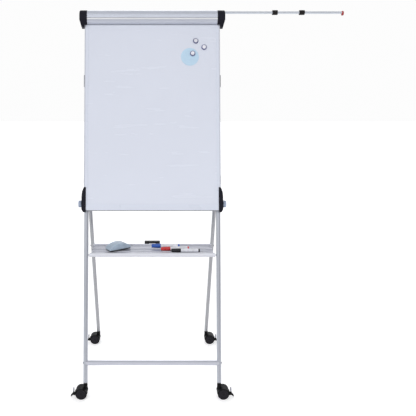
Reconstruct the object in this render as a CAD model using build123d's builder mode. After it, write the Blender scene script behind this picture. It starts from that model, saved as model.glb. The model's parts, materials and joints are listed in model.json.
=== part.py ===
"""Mobile flipchart easel: two leg frames on castors, a sliding board, a pen tray and a side arm.

Millimetres, +Z up, +X to the right of a person who faces the board, +Y towards the back.
The origin lies on the floor, midway between the front and the rear leg lines.
Points of the front frame and the board are given as (x, n, s): x across, n rearwards from the
plane of the front legs, s along the front legs from the floor.
"""

import os
from math import cos, radians, sin

from build123d import *

# ---- driving dimensions ------------------------------------------------------------------
foot_span = 663.0          # front leg line to rear leg line, on the floor
front_lean = 14.5          # degrees from vertical, front legs and board
rear_lean = 18.1           # degrees from vertical, rear legs
front_spacing = 678.0      # centre to centre
rear_spacing = 668.0
front_tube = 22.0          # outer diameters
rear_tube = 20.0
tube_wall = 1.5
leg_bottom = 89.0          # s of the lower end of both pairs of legs
front_leg_top = 1770.0
hinge_gap = 34.0           # rear leg axis behind front leg axis at the fold hinge
running = 0.05             # radial clearance of pins and shafts
loose = 0.3                # clearance between parts that slide or rest

crossbar_s = 184.0
crossbar_tube = 25.0
rear_cross_height = 684.0
rear_cross_tube = 20.0

board_width = 698.0
board_low = 955.0
board_high = 1917.0
board_front = -33.0        # n of the frame's front lip
board_back_n = -13.0
frame_side = 18.0          # width of the frame's side lips
frame_bottom = 32.0
frame_wall = 1.5
sheet = 1.0

header_half = 336.0        # the header profile's half length
header_top = 1990.5
cap_low = 1905.0           # lowest point of the end caps
cap_reach = 375.0          # x of the end caps' outer faces
cap_taper = 10.0           # how far the caps narrow towards their lower tips
arm_n = -38.0
arm_s = 1979.5
arm_radius = 6.25
arm_bore = 7.0             # of the header's tube chamber
arm_inner_end = 270.0
arm_tip_x = 988.0
clip_starts = (620.0, 759.0)
clip_length = 26.0

tray_pin_s = 729.8
tray_pan_half = 316.0
tray_lip_half = 323.4
tray_depth = 137.0         # pin axis to the outside of the rear wall
pin_radius = 3.0

wheel_radius = 29.0
castor_trail = 21.0
castor_neck_top = 77.0
castor_stem_top = 98.5
stem_radius = 4.0

# ---- frames of reference -----------------------------------------------------------------
front_y = -foot_span / 2
rear_y = foot_span / 2
sin_f, cos_f = sin(radians(front_lean)), cos(radians(front_lean))
sin_r, cos_r = sin(radians(rear_lean)), cos(radians(rear_lean))
front = Plane(origin=(0, front_y, 0), x_dir=(1, 0, 0), z_dir=(0, sin_f, cos_f))
rear = Plane(origin=(0, rear_y, 0), x_dir=(1, 0, 0), z_dir=(0, -sin_r, cos_r))
# square to the board and 100 in front of the legs, for cuts whose sketches are in (x, s)
front_view = Plane(origin=(0, front_y - 100 * cos_f, 100 * sin_f), x_dir=(1, 0, 0),
                   z_dir=(0, -cos_f, sin_f))


def front_point(n, s):
    """World (y, z) of a point n behind the front leg plane and s along it."""
    return front_y + n * cos_f + s * sin_f, s * cos_f - n * sin_f


def rear_point(n, t):
    """World (y, z) of a point n behind the rear leg axis and t along it."""
    return rear_y + n * cos_r - t * sin_r, t * cos_r + n * sin_r


def front_section(x):
    """Plane across the header or board at x, whose sketch coordinates are (n, s)."""
    return Plane(origin=(x, front_y, 0), x_dir=(0, cos_f, -sin_f), z_dir=(1, 0, 0))


def level_section(x, y, z):
    """Plane across X at x, whose sketch coordinates are (y, z) from the given point."""
    return Plane(origin=(x, y, z), x_dir=(0, 1, 0), z_dir=(1, 0, 0))


def rod_x(centre, radius, x_from, x_to, mode=Mode.ADD):
    """A cylinder along X about the world point centre = (y, z), in the current part."""
    with BuildSketch(level_section(x_from, *centre)) as section:
        Circle(radius)
    extrude(section.sketch, amount=x_to - x_from, mode=mode)


def leg_tube(plane, x, outer, low, high, wall=tube_wall):
    """A round tube along a leg plane, in the current part."""
    with BuildSketch(plane.offset(low)) as section:
        with Locations((x, 0)):
            Circle(outer / 2)
            Circle(outer / 2 - wall, mode=Mode.SUBTRACT)
    extrude(section.sketch, amount=high - low)


def leg_bar(plane, x, radius, low, high, mode=Mode.ADD):
    """A solid round bar along a leg plane, in the current part."""
    with BuildSketch(plane.offset(low)) as section:
        with Locations((x, 0)):
            Circle(radius)
    extrude(section.sketch, amount=high - low, mode=mode)


def box_on(plane, x_span, n_span, s_span, mode=Mode.ADD):
    """A block in a leg plane's (x, n, s), in the current part."""
    with BuildSketch(plane.offset(s_span[0])) as section:
        with Locations(((x_span[0] + x_span[1]) / 2, (n_span[0] + n_span[1]) / 2)):
            Rectangle(abs(x_span[1] - x_span[0]), n_span[1] - n_span[0])
    extrude(section.sketch, amount=s_span[1] - s_span[0], mode=mode)


def save(piece, name):
    piece.part.label = name
    export_step(piece.part, f"parts/{name}.step")


os.makedirs("parts", exist_ok=True)
sides = {"left": -1, "right": 1}

# ---- places worked out from the driving dimensions ---------------------------------------
hinge_t = (foot_span * cos_f - hinge_gap) / sin(radians(front_lean + rear_lean))
hinge_yz = rear_point(0, hinge_t)
hinge_s = foot_span * sin_f + hinge_t * cos(radians(front_lean + rear_lean))
rear_cross_t = rear_cross_height / cos_r
rear_cross_yz = rear_point(0, rear_cross_t)
crossbar_yz = front_point(0, crossbar_s)
tray_pin_yz = front_point(0, tray_pin_s)
front_x = front_spacing / 2
rear_x = rear_spacing / 2
front_r = front_tube / 2
rear_r = rear_tube / 2
bolt_radius = 3.0
hinge_pin_radius = 4.0
castor_y = {"front": front_point(0, leg_bottom)[0], "rear": rear_point(0, leg_bottom)[0]}
castor_x = {"front": front_x, "rear": rear_x}
castor_planes = {"front": front, "rear": rear}

# ---- front frame -------------------------------------------------------------------------
for side, sign in sides.items():
    with BuildPart() as front_leg:
        leg_tube(front, sign * front_x, front_tube, leg_bottom, front_leg_top)
        rod_x(crossbar_yz, bolt_radius + running, sign * 300, sign * 360, Mode.SUBTRACT)
        rod_x(tray_pin_yz, pin_radius, sign * 320, sign * 340, Mode.SUBTRACT)
    save(front_leg, f"front_leg_{side}")

with BuildPart() as front_crossbar:
    rod_x(crossbar_yz, crossbar_tube / 2, -front_x, front_x)
    crossbar_hollow = front_x - 50
    rod_x(crossbar_yz, crossbar_tube / 2 - tube_wall, -crossbar_hollow, crossbar_hollow, Mode.SUBTRACT)
    for sign in sides.values():
        leg_bar(front, sign * front_x, front_r + running, 100, 300, Mode.SUBTRACT)
        rod_x(crossbar_yz, bolt_radius + running, sign * 300, sign * 340, Mode.SUBTRACT)
save(front_crossbar, "front_crossbar")


def through_bolt(centre, sign, shank_from, head_at, head_radius, head_height):
    """A domed bolt along X: its shank starts inside, its head sits on the outer face head_at."""
    rod_x(centre, bolt_radius, sign * shank_from, sign * head_at)
    rod_x(centre, head_radius, sign * head_at, sign * (head_at + head_height))


with BuildPart() as crossbar_bolts:
    for sign in sides.values():
        through_bolt(crossbar_yz, sign, 302, front_x + front_r, 5.5, 3.5)
    for end in (0, -1):
        fillet(crossbar_bolts.faces().sort_by(Axis.X)[end].edges(), 1.2)
save(crossbar_bolts, "crossbar_bolts")

with BuildPart() as tray_pivot_pins:
    for sign in sides.values():
        rod_x(tray_pin_yz, pin_radius - running, sign * 300, sign * 347)
save(tray_pivot_pins, "tray_pivot_pins")


def leg_sockets(name, plane, x, bore_radius):
    """Angled plugs in the lower leg ends, with upright bores for the castor stems."""
    y = castor_y[name]
    with BuildPart() as sockets:
        for sign in sides.values():
            leg_bar(plane, sign * x, bore_radius, leg_bottom - 1, leg_bottom + 34)
            leg_bar(plane, sign * x, bore_radius + tube_wall + 0.3, leg_bottom - 4, leg_bottom)
            with BuildSketch(Plane.XY.offset(castor_neck_top - 5)):
                with Locations((sign * x, y)):
                    Circle(stem_radius + running)
            extrude(amount=castor_stem_top + 1.5 - castor_neck_top + 5, mode=Mode.SUBTRACT)
    save(sockets, f"{name}_leg_sockets")


leg_sockets("front", front, front_x, front_r - tube_wall - running)
leg_sockets("rear", rear, rear_x, rear_r - tube_wall - running)

with BuildPart() as leg_top_plugs:
    for sign in sides.values():
        leg_bar(front, sign * front_x, front_r - tube_wall - running, front_leg_top - 15, front_leg_top)
        leg_bar(front, sign * front_x, front_r, front_leg_top, front_leg_top + 3)
save(leg_top_plugs, "leg_top_plugs")

ear_gap = rear_r + 1.0
ear_thick = 3.5
bracket_height = 44.0
for side, sign in sides.items():
    with BuildPart() as hinge_bracket:
        low = hinge_s - bracket_height / 2
        span = (low, low + bracket_height)
        leg_bar(front, sign * front_x, front_r + 4, *span)
        box_on(front, (sign * 300, sign * 380), (-30, board_back_n + 0.4), span, Mode.SUBTRACT)
        inner = sign * (rear_x - ear_gap - ear_thick)
        outer = sign * (rear_x + ear_gap + ear_thick)
        box_on(front, (inner, outer), (6, 16), span)
        box_on(front, (inner, inner + sign * ear_thick), (8, hinge_gap + 11), span)
        box_on(front, (outer, outer - sign * ear_thick), (8, hinge_gap + 11), span)
        leg_bar(front, sign * front_x, front_r + running, span[0] - 1, span[1] + 1, Mode.SUBTRACT)
        rod_x(hinge_yz, hinge_pin_radius + running, sign * 300, sign * 360, Mode.SUBTRACT)
        ear_corners = hinge_bracket.edges().filter_by(Axis.X).group_by(Axis.Y)[-1]
        fillet(ear_corners, 8)
    save(hinge_bracket, f"hinge_bracket_{side}")

with BuildPart() as hinge_pins:
    for sign in sides.values():
        pin_from = sign * (rear_x - ear_gap - ear_thick)
        pin_to = sign * (rear_x + ear_gap + ear_thick)
        rod_x(hinge_yz, hinge_pin_radius, pin_from, pin_to)
        rod_x(hinge_yz, 6.5, pin_from - sign * 3, pin_from)
        rod_x(hinge_yz, 6.5, pin_to, pin_to + sign * 3)
save(hinge_pins, "hinge_pins")

# ---- rear frame --------------------------------------------------------------------------
for side, sign in sides.items():
    with BuildPart() as rear_leg:
        leg_tube(rear, sign * rear_x, rear_tube, leg_bottom, hinge_t + 10)
        rod_x(hinge_yz, hinge_pin_radius + running, sign * 300, sign * 360, Mode.SUBTRACT)
        rod_x(rear_cross_yz, bolt_radius + running, sign * 300, sign * 360, Mode.SUBTRACT)
    save(rear_leg, f"rear_leg_{side}")

with BuildPart() as rear_crossbar:
    rod_x(rear_cross_yz, rear_cross_tube / 2, -rear_x, rear_x)
    rear_hollow = rear_x - 45
    rod_x(rear_cross_yz, rear_cross_tube / 2 - tube_wall, -rear_hollow, rear_hollow, Mode.SUBTRACT)
    for sign in sides.values():
        leg_bar(rear, sign * rear_x, rear_r + running, 600, 850, Mode.SUBTRACT)
        rod_x(rear_cross_yz, bolt_radius + running, sign * 295, sign * 340, Mode.SUBTRACT)
save(rear_crossbar, "rear_crossbar")

with BuildPart() as rear_crossbar_bolts:
    for sign in sides.values():
        through_bolt(rear_cross_yz, sign, 297, rear_x + rear_r, 5.0, 3.5)
    for end in (0, -1):
        fillet(rear_crossbar_bolts.faces().sort_by(Axis.X)[end].edges(), 1.2)
save(rear_crossbar_bolts, "rear_crossbar_bolts")

# ---- pen tray and its spreader stay ------------------------------------------------------
# The tray's sections are in (y, z) from the pivot pin's axis.
pan_floor = -3.5           # underside of the pan
pan_wall = 2.0
terraces = ((4.0, 4.0), (44.0, 8.0), (80.0, 13.0))       # y where each step starts, its height
rear_wall_top = 21.0
rear_wall_thick = 3.0
with BuildPart() as tray_pan:
    with BuildSketch(level_section(-tray_pan_half, *tray_pin_yz)):
        with BuildLine():
            (y1, z1), (y2, z2), (y3, z3) = terraces
            rear_inside = tray_depth - rear_wall_thick
            Polyline((y1, pan_floor), (tray_depth, pan_floor), (tray_depth, rear_wall_top),
                     (rear_inside, rear_wall_top), (rear_inside, z3), (y3, z3), (y3, z2),
                     (y2, z2), (y2, z1), (y1, z1), close=True)
        make_face()
    extrude(amount=2 * tray_pan_half)
    chamber_half = tray_pan_half - pan_wall
    with BuildSketch(level_section(-chamber_half, *tray_pin_yz)):
        with BuildLine():
            low = pan_floor + pan_wall
            Polyline((y1 + pan_wall, low), (rear_inside, low), (rear_inside, z3 - pan_wall),
                     (y3 + pan_wall, z3 - pan_wall), (y3 + pan_wall, z2 - pan_wall),
                     (y2 + pan_wall, z2 - pan_wall), (y2 + pan_wall, z1 - pan_wall),
                     (y1 + pan_wall, z1 - pan_wall), close=True)
        make_face()
    extrude(amount=2 * chamber_half, mode=Mode.SUBTRACT)
    rim = tray_pan.faces().filter_by(Axis.Z).sort_by(Axis.Z)[-1]
    fillet(rim.edges().filter_by(Axis.X), 1.2)
save(tray_pan, "tray_pan")

with BuildPart() as tray_lip:
    with BuildSketch(level_section(-tray_lip_half, *tray_pin_yz)):
        with BuildLine():
            Line((4, -9.5), (4, 11.5))
            Line((4, 11.5), (-3, 11.5))
            ThreePointArc((-3, 11.5), (-9.5, 1), (-3, -9.5))
            Line((-3, -9.5), (4, -9.5))
        make_face()
    extrude(amount=2 * tray_lip_half)
    end_edges = tray_lip.faces().filter_by(Axis.X).edges().group_by(Axis.Z)[-1]
    chamfer(end_edges.filter_by(Axis.Y), 6)
    lip_hollow = tray_lip_half - 30
    with BuildSketch(level_section(-lip_hollow, *tray_pin_yz)):
        with Locations((-1.5, 1)):
            Rectangle(8, 16)
    extrude(amount=2 * lip_hollow, mode=Mode.SUBTRACT)
    for sign in sides.values():
        rod_x(tray_pin_yz, pin_radius, sign * 299, sign * 330, Mode.SUBTRACT)
save(tray_lip, "tray_lip")

stay_half = 18.0
stay_thick = 4.0
stay_top = tray_pin_yz[1] + pan_floor
stay_start = tray_pin_yz[0] + 30
rivet_ys = (stay_start + 20, stay_start + 85)
stay_end = rear_cross_yz[0] + 10
with BuildPart() as spreader_stay:
    with BuildSketch(Plane.XY.offset(stay_top - stay_thick)):
        with Locations((0, (stay_start + stay_end) / 2)):
            RectangleRounded(2 * stay_half, stay_end - stay_start, 4)
        with Locations(*[(sign * 9, y) for sign in sides.values() for y in rivet_ys]):
            Circle(2.5 + running, mode=Mode.SUBTRACT)
    extrude(amount=stay_thick)
    rib_low = stay_top - stay_thick - 5
    for sign in sides.values():
        with BuildSketch(Plane.XY.offset(rib_low)):
            with Locations((sign * (stay_half - 1), (stay_start + stay_end) / 2 - 15)):
                Rectangle(2, stay_end - stay_start - 50)
        extrude(amount=5)
save(spreader_stay, "spreader_stay")

with BuildPart() as stay_rivets:
    for y in rivet_ys:
        for sign in sides.values():
            with BuildSketch(Plane.XY.offset(stay_top - stay_thick)):
                with Locations((sign * 9, y)):
                    Circle(2.5)
            extrude(amount=stay_thick)
            with BuildSketch(Plane.XY.offset(stay_top - stay_thick - 2)):
                with Locations((sign * 9, y)):
                    Circle(4.5)
            extrude(amount=2)
save(stay_rivets, "stay_rivets")

grip_top = 709.8
grip_low = rear_cross_yz[1] + 2
grip_half = 44.0
with BuildPart() as hook_grip:
    with BuildSketch(Plane(origin=(0, rear_cross_yz[0] + 15, 0), x_dir=(1, 0, 0), z_dir=(0, -1, 0))):
        Polygon((-grip_half, grip_low), (grip_half, grip_low), (grip_half - 3, grip_top),
                (3 - grip_half, grip_top), align=None)
    extrude(amount=30)
    fillet(hook_grip.edges().filter_by(Axis.X).group_by(Axis.Z)[-1], 4)
    rod_x(rear_cross_yz, rear_cross_tube / 2 + loose, -50, 50, Mode.SUBTRACT)
    with BuildSketch(Plane.XY.offset(stay_top - stay_thick - 0.1)):
        with Locations((0, (stay_start + stay_end) / 2)):
            Rectangle(2 * stay_half + 0.2, stay_end - stay_start + 0.2)
    extrude(amount=stay_thick + 0.2, mode=Mode.SUBTRACT)
save(hook_grip, "hook_grip")

# ---- board -------------------------------------------------------------------------------
half_board = board_width / 2
panel_half = half_board - 2
panel_low = board_low + 2
sheet_front = board_front + frame_wall
panel_layers = {
    "writing_sheet": (sheet_front, sheet_front + sheet),
    "board_core": (sheet_front + sheet, board_back_n - frame_wall - sheet),
    "board_back": (board_back_n - frame_wall - sheet, board_back_n - frame_wall),
}
guide_low = 1600.0
guide_height = 60.0
guide_screws_at = [(sign * x, s) for sign in sides.values() for x in (300, 312)
                   for s in (guide_low + 12, guide_low + 48)]


def guide_screw_bars(radius, n_from, n_to, mode=Mode.ADD):
    """Round bars along n at each guide screw, in the current part."""
    for x, s in guide_screws_at:
        y, z = front_point(n_from, s)
        with BuildSketch(Plane(origin=(x, y, z), x_dir=(1, 0, 0), z_dir=(0, cos_f, -sin_f))) as section:
            Circle(radius)
        extrude(section.sketch, amount=n_to - n_from, mode=mode)


for name, layer in panel_layers.items():
    with BuildPart() as panel:
        box_on(front, (-panel_half, panel_half), layer, (panel_low, board_high))
        if name != "writing_sheet":
            guide_screw_bars(2.0, -24, -13, Mode.SUBTRACT)
    save(panel, name)

with BuildPart() as board_frame:
    box_on(front, (-half_board, half_board), (board_front, board_back_n), (board_low, board_high))
    window = half_board - frame_side
    box_on(front, (-panel_half, panel_half), (sheet_front, board_back_n - frame_wall),
           (panel_low, board_high + 1), Mode.SUBTRACT)
    box_on(front, (-window, window), (board_front - 1, board_back_n + 1),
           (board_low + frame_bottom, board_high + 1), Mode.SUBTRACT)
    chamfer(board_frame.edges().filter_by(Axis.X).sort_by(Axis.Y)[0], 1.2)
save(board_frame, "board_frame")

# Lower corner brackets: each clips over the board's edge and slides on its leg.
bracket_low = 949.0
bracket_top = 1076.0
bracket_outer = 361.0
foot_reach = 344.0         # inner end of the foot under the board's corner
sleeve_top = 1030.0        # the part round the leg ends here, the lip over the board goes on
knob_s = 992.0
knob_yz = front_point(0, knob_s)
for side, sign in sides.items():
    with BuildPart() as side_bracket:
        with BuildSketch(front.offset(bracket_low)):
            with Locations((sign * (323 + bracket_outer) / 2, -10.5)):
                RectangleRounded(bracket_outer - 323, 51, 4)
        extrude(amount=bracket_top - bracket_low)
        box_on(front, (sign * 300, sign * 338.5), (-40, -12.9), (board_low, bracket_top + 1), Mode.SUBTRACT)
        box_on(front, (sign * 300, sign * half_board), (board_front, board_back_n + 0.1),
               (board_low, bracket_top + 1), Mode.SUBTRACT)
        box_on(front, (sign * 300, sign * foot_reach), (-40, 20), (bracket_low - 1, board_low),
               Mode.SUBTRACT)
        leg_bar(front, sign * front_x, front_r + 2 * running, bracket_low - 1, bracket_top + 1,
                Mode.SUBTRACT)
        box_on(front, (sign * 300, sign * 380), (board_back_n + 0.1, 20), (sleeve_top, bracket_top + 1),
               Mode.SUBTRACT)
        rod_x(knob_yz, 4.0 + running, sign * 345, sign * 365, Mode.SUBTRACT)
        # the outer side slopes in towards the top, and the lower outer corner is cut off
        with BuildSketch(front_view):
            with BuildLine():
                Polyline((sign * 380, 1026), (sign * (bracket_outer + 0.1), 1026), (sign * 358.5, 1050),
                         (sign * 353.5, 1066), (sign * 347.5, bracket_top + 1), (sign * 380, bracket_top + 1),
                         close=True)
            make_face()
            with BuildLine():
                Polyline((sign * 380, bracket_low + 14), (sign * (bracket_outer + 0.1), bracket_low + 14),
                         (sign * 352, bracket_low - 1), (sign * 380, bracket_low - 1), close=True)
            make_face()
        extrude(amount=-200, mode=Mode.SUBTRACT)
    save(side_bracket, f"side_bracket_{side}")

for side, sign in sides.items():
    with BuildPart() as upper_guide:
        span = (guide_low, guide_low + guide_height)
        leg_bar(front, sign * front_x, front_r + 4, *span)
        box_on(front, (sign * 300, sign * 380), (-30, board_back_n), span, Mode.SUBTRACT)
        box_on(front, (sign * (front_x - 15), sign * (front_x + 15)), (board_back_n, 0), span)
        box_on(front, (sign * 294, sign * 330), (board_back_n, board_back_n + 5), span)
        leg_bar(front, sign * front_x, front_r + 2 * running, span[0] - 1, span[1] + 1, Mode.SUBTRACT)
        guide_screw_bars(2.0, board_back_n - 1, board_back_n + 6, Mode.SUBTRACT)
    save(upper_guide, f"upper_guide_{side}")

with BuildPart() as guide_screws:
    guide_screw_bars(1.95, -23, board_back_n + 5)
    guide_screw_bars(4.0, board_back_n + 5, board_back_n + 7.5)
save(guide_screws, "guide_screws")

# ---- header: fixed rail, end caps, clamp flap --------------------------------------------
flap_n, flap_s = -52.0, 1942.0
flap_bead = 5.2            # radius of the flap's rolled upper edge, which turns on its axis
nose_low = flap_s + flap_bead + 0.5
slot_s = 1932.0            # height of the paper hooks' slot
rail_low = board_high + 1
rail_back = -11.4          # clear of the legs


def header_outline():
    """The rail's closed outline in (n, s): nose over the flap, round top, upright back."""
    with BuildLine() as outline:
        Line((-34, rail_low), (-34, nose_low))
        Line((-34, nose_low), (-55.4, nose_low))
        Line((-55.4, nose_low), (-55.8, nose_low + 14))
        ThreePointArc((-55.8, nose_low + 14), (-52.2, 1977), (-38, header_top))
        Line((-38, header_top), (-18, header_top))
        ThreePointArc((-18, header_top), (-13.2, 1988), (rail_back, 1982))
        Line((rail_back, 1982), (rail_back, 1870))
        Line((rail_back, 1870), (-13, 1870))
        Line((-13, 1870), (-13, rail_low))
        Line((-13, rail_low), (-34, rail_low))
    make_face(outline.edges())


with BuildPart() as header_rail:
    with BuildSketch(front_section(-header_half)):
        header_outline()
        with Locations((arm_n, arm_s)):
            Circle(arm_bore, mode=Mode.SUBTRACT)
        with Locations((-32.5, slot_s)):
            Rectangle(3.2, 6, mode=Mode.SUBTRACT)
        with Locations((-28.5, slot_s)):
            Rectangle(5, 14, mode=Mode.SUBTRACT)
        with Locations((-33, 1959)):
            Rectangle(36, 16, mode=Mode.SUBTRACT)
        with Locations((-19, 1932.75)):
            Rectangle(10, 25.5, mode=Mode.SUBTRACT)
        with Locations((-21, 1978)):
            Rectangle(13, 16, mode=Mode.SUBTRACT)
    extrude(amount=2 * header_half)
save(header_rail, "header_rail")


def cap_outline():
    """The end cap's outline in (n, s): the rail and the closed flap together, and a tip below."""
    with BuildLine() as outline:
        Line((-40, cap_low), (-58, 1937))
        Line((-58, 1937), (-58, nose_low + 4))
        ThreePointArc((-58, nose_low + 4), (-53.4, 1978), (-38, header_top + 1))
        Line((-38, header_top + 1), (-18, header_top + 1))
        ThreePointArc((-18, header_top + 1), (-12, 1988.5), (-9.5, 1982))
        Line((-9.5, 1982), (-9.5, cap_low))
        Line((-9.5, cap_low), (-40, cap_low))
    make_face(outline.edges())


for side, sign in sides.items():
    with BuildPart() as end_cap:
        with BuildSketch(front_section(sign * header_half)):
            cap_outline()
        extrude(amount=sign * (cap_reach - header_half))
        outer_face = end_cap.faces().sort_by(Axis.X)[-1 if sign > 0 else 0]
        fillet(outer_face.edges(), 6)
        box_on(front, (sign * 300, sign * (half_board + 0.2)), (-60, 0), (cap_low - 5, board_high + 1),
               Mode.SUBTRACT)
        with BuildSketch(front_view):        # the outer side slopes in towards the lower tip
            Polygon((sign * (cap_reach + 1), flap_s), (sign * (cap_reach + 1), cap_low - 1),
                    (sign * (cap_reach - cap_taper), cap_low - 1), align=None)
        extrude(amount=-200, mode=Mode.SUBTRACT)
        # a ridge carries the flap's bead across the cap
        rod_x(front_point(-57.2, flap_s), 1.8, sign * header_half, sign * (cap_reach - 6.5))
        with BuildSketch(front_section(sign * (header_half - 1))):
            with Locations((flap_n, flap_s)):
                Circle(2.5 + running)
        extrude(amount=sign * 10, mode=Mode.SUBTRACT)
        if side == "right":
            with BuildSketch(front_section(header_half - 1)):
                with Locations((arm_n, arm_s)):
                    Circle(arm_bore)
            extrude(amount=cap_reach - header_half + 2, mode=Mode.SUBTRACT)
    save(end_cap, f"end_cap_{side}")

flap_half = header_half - 0.5
flap_low = 1920.5
with BuildPart() as clamp_flap:
    with BuildSketch(front_section(-flap_half)):
        with BuildLine():
            Line((-51, 1938), (-41.8, flap_low + 6))
            Line((-41.8, flap_low + 6), (-37.4, flap_low + 3.5))
            Line((-37.4, flap_low + 3.5), (-36.6, flap_low + 1.6))
            Line((-36.6, flap_low + 1.6), (-35.6, flap_low))
            Line((-35.6, flap_low), (-39.2, flap_low))
            ThreePointArc((-39.2, flap_low), (-49.2, 1927), (-56.6, 1940))
            Line((-56.6, 1940), (-51, 1938))
        make_face()
        with Locations((flap_n, flap_s)):
            Circle(flap_bead)
    extrude(amount=2 * flap_half)
    for sign in sides.values():
        with BuildSketch(front_section(sign * flap_half)):
            with Locations((flap_n, flap_s)):
                Circle(2.5)
        extrude(amount=sign * 8)
save(clamp_flap, "clamp_flap")

with BuildPart() as flap_strip:
    with BuildSketch(front_section(-flap_half + 6)):
        with BuildLine():
            Polyline((-36.7, flap_low + 2), (-34.5, flap_low + 2), (-34.5, flap_low + 4.6),
                     (-37.2, flap_low + 3.9), close=True)
        make_face()
    extrude(amount=2 * flap_half - 12)
save(flap_strip, "flap_grip_strip")

with BuildPart() as leaf_springs:
    for sign in sides.values():
        with BuildSketch(front_section(sign * 245 - 15)):
            with BuildLine():
                Polyline((-34.1, nose_low - 0.1), (-34.1, 1938.5), (-43, 1932), (-43.5, 1932.8),
                         (-34.9, 1939.9), (-34.9, nose_low - 0.1), close=True)
            make_face()
        extrude(amount=30)
save(leaf_springs, "flap_leaf_springs")

hook_x = 140.0
for side, sign in sides.items():
    with BuildPart() as hook:
        x_span = (sign * hook_x - 9, sign * hook_x + 9)
        box_on(front, x_span, (-30.7, -26.3), (slot_s - 6.7, slot_s + 6.7))
        box_on(front, x_span, (-34.2, -30.7), (slot_s - 2.7, slot_s + 2.7))
        box_on(front, x_span, (-36.2, -34.2), (slot_s - 6, slot_s + 6))
        y, z = front_point(-42.5, slot_s)
        with BuildSketch(Plane(origin=(sign * hook_x, y, z), x_dir=(1, 0, 0), z_dir=(0, cos_f, -sin_f))):
            Circle(2.5)
        extrude(amount=6.5)
    save(hook, f"paper_hook_{side}")

# ---- side arm ----------------------------------------------------------------------------
arm_yz = front_point(arm_n, arm_s)
with BuildPart() as arm_rod:
    rod_x(arm_yz, arm_radius, arm_inner_end, arm_tip_x - 10)
    rod_x(arm_yz, arm_radius - 1.2, arm_inner_end + 40, arm_tip_x - 40, Mode.SUBTRACT)
save(arm_rod, "arm_rod")

with BuildPart() as arm_shoe:
    rod_x(arm_yz, arm_bore - 0.1, arm_inner_end - 12, arm_inner_end)
save(arm_shoe, "arm_shoe")

with BuildPart() as arm_tip:
    with BuildSketch(level_section(arm_tip_x - 10, *arm_yz)):
        with Locations((0, -3)):
            SlotOverall(23, 15, rotation=90)
    extrude(amount=10)
    fillet(arm_tip.faces().sort_by(Axis.X)[-1].edges(), 3)
save(arm_tip, "arm_tip")

for name, start in zip(("inner", "outer"), clip_starts):
    with BuildPart() as arm_clip:
        with BuildSketch(level_section(start, *arm_yz)):
            Circle(arm_radius + 1.8)
            with Locations((0, 6)):
                RectangleRounded(12, 12, 2)
            Circle(arm_radius + 2 * running, mode=Mode.SUBTRACT)
            with Locations((0, -8)):
                Rectangle(9, 10, mode=Mode.SUBTRACT)
        extrude(amount=clip_length)
    save(arm_clip, f"arm_clip_{name}")

# ---- clamp knobs -------------------------------------------------------------------------
for side, sign in sides.items():
    with BuildPart() as clamp_knob:
        rod_x(knob_yz, 4.0, sign * 350.6, sign * 366)
        rod_x(knob_yz, 9.0, sign * 361.5, sign * 364)
        rod_x(knob_yz, 18.0, sign * 364, sign * 380.5)
        rim = clamp_knob.faces().sort_by(Axis.X)[-1 if sign > 0 else 0]
        fillet(rim.edges(), 4)
        with BuildSketch(level_section(sign * 364, *knob_yz)):
            with PolarLocations(19.5, 8):
                Circle(3)
        extrude(amount=sign * 20, mode=Mode.SUBTRACT)
    save(clamp_knob, f"clamp_knob_{side}")

# ---- castors -----------------------------------------------------------------------------
wheel_inner, wheel_outer = 7.0, 25.8
hood_outer, hood_inner = 31.0, 29.7
axle_radius = 3.0
axle_half = wheel_outer - 1
hood_half = 27.0           # half the hood's width, along the axle
neck_low, neck_radius = 48.0, 10.5
pedal_x, pedal_z = 54.5, 20.0


def castor_plane(x, y, sign):
    """Upright plane through the swivel axis: sketch (trail outwards, height), facing along Y."""
    return Plane(origin=(x, y, 0), x_dir=(sign, 0, 0), z_dir=(0, -sign, 0))


def castor_hood(plane):
    """Stem, neck, fender over both wheels, centre web, axle and the pedal's two ears."""
    with BuildPart() as hood:
        with BuildSketch(plane.offset(-hood_half)):
            with Locations((castor_trail, wheel_radius)):
                Circle(hood_outer)
                Circle(hood_inner, mode=Mode.SUBTRACT)
            with Locations((castor_trail, wheel_radius - 40)):
                Rectangle(120, 84, mode=Mode.SUBTRACT)
        extrude(amount=2 * hood_half)
        with BuildSketch(plane.offset(-6)):
            with Locations((castor_trail, wheel_radius)):
                Circle(hood_inner + 0.5)
            with Locations((castor_trail, wheel_radius - 45)):
                Rectangle(120, 70, mode=Mode.SUBTRACT)
        extrude(amount=12)
        with BuildSketch(plane.offset(-axle_half)):
            with Locations((castor_trail, wheel_radius)):
                Circle(axle_radius)
        extrude(amount=2 * axle_half)
        for ear in (-12, 9):
            with BuildSketch(plane.offset(ear)):
                with BuildLine():
                    Polyline((50.6, 38), (53.5, 36), (pedal_x + 3.8, pedal_z + 2),
                             (pedal_x + 3, pedal_z - 3.5), (pedal_x - 1.7, pedal_z - 3.5),
                             (pedal_x - 2.6, pedal_z + 4), close=True)
                make_face()
            extrude(amount=3)
        with BuildSketch(plane.offset(-12)):
            with Locations((pedal_x, pedal_z)):
                Circle(1.5)
        extrude(amount=24)
        swivel = plane.origin
        with BuildSketch(Plane(origin=(swivel.X, swivel.Y, neck_low))):
            Circle(neck_radius)
        extrude(amount=castor_neck_top - neck_low)
        with BuildSketch(Plane(origin=(swivel.X, swivel.Y, castor_neck_top))):
            Circle(stem_radius)
        extrude(amount=castor_stem_top - castor_neck_top)
        # the neck reaches down only to the fender's inside, clear of the wheels
        for start in (-hood_half - 0.5, wheel_inner - 0.5):
            with BuildSketch(plane.offset(start)):
                with Locations((castor_trail, wheel_radius)):
                    Circle(hood_inner)
            extrude(amount=hood_half + 1 - wheel_inner, mode=Mode.SUBTRACT)
        with BuildSketch(plane.offset(-axle_half)):
            with Locations((castor_trail, wheel_radius)):
                Circle(axle_radius)
        extrude(amount=2 * axle_half)
    return hood


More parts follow.
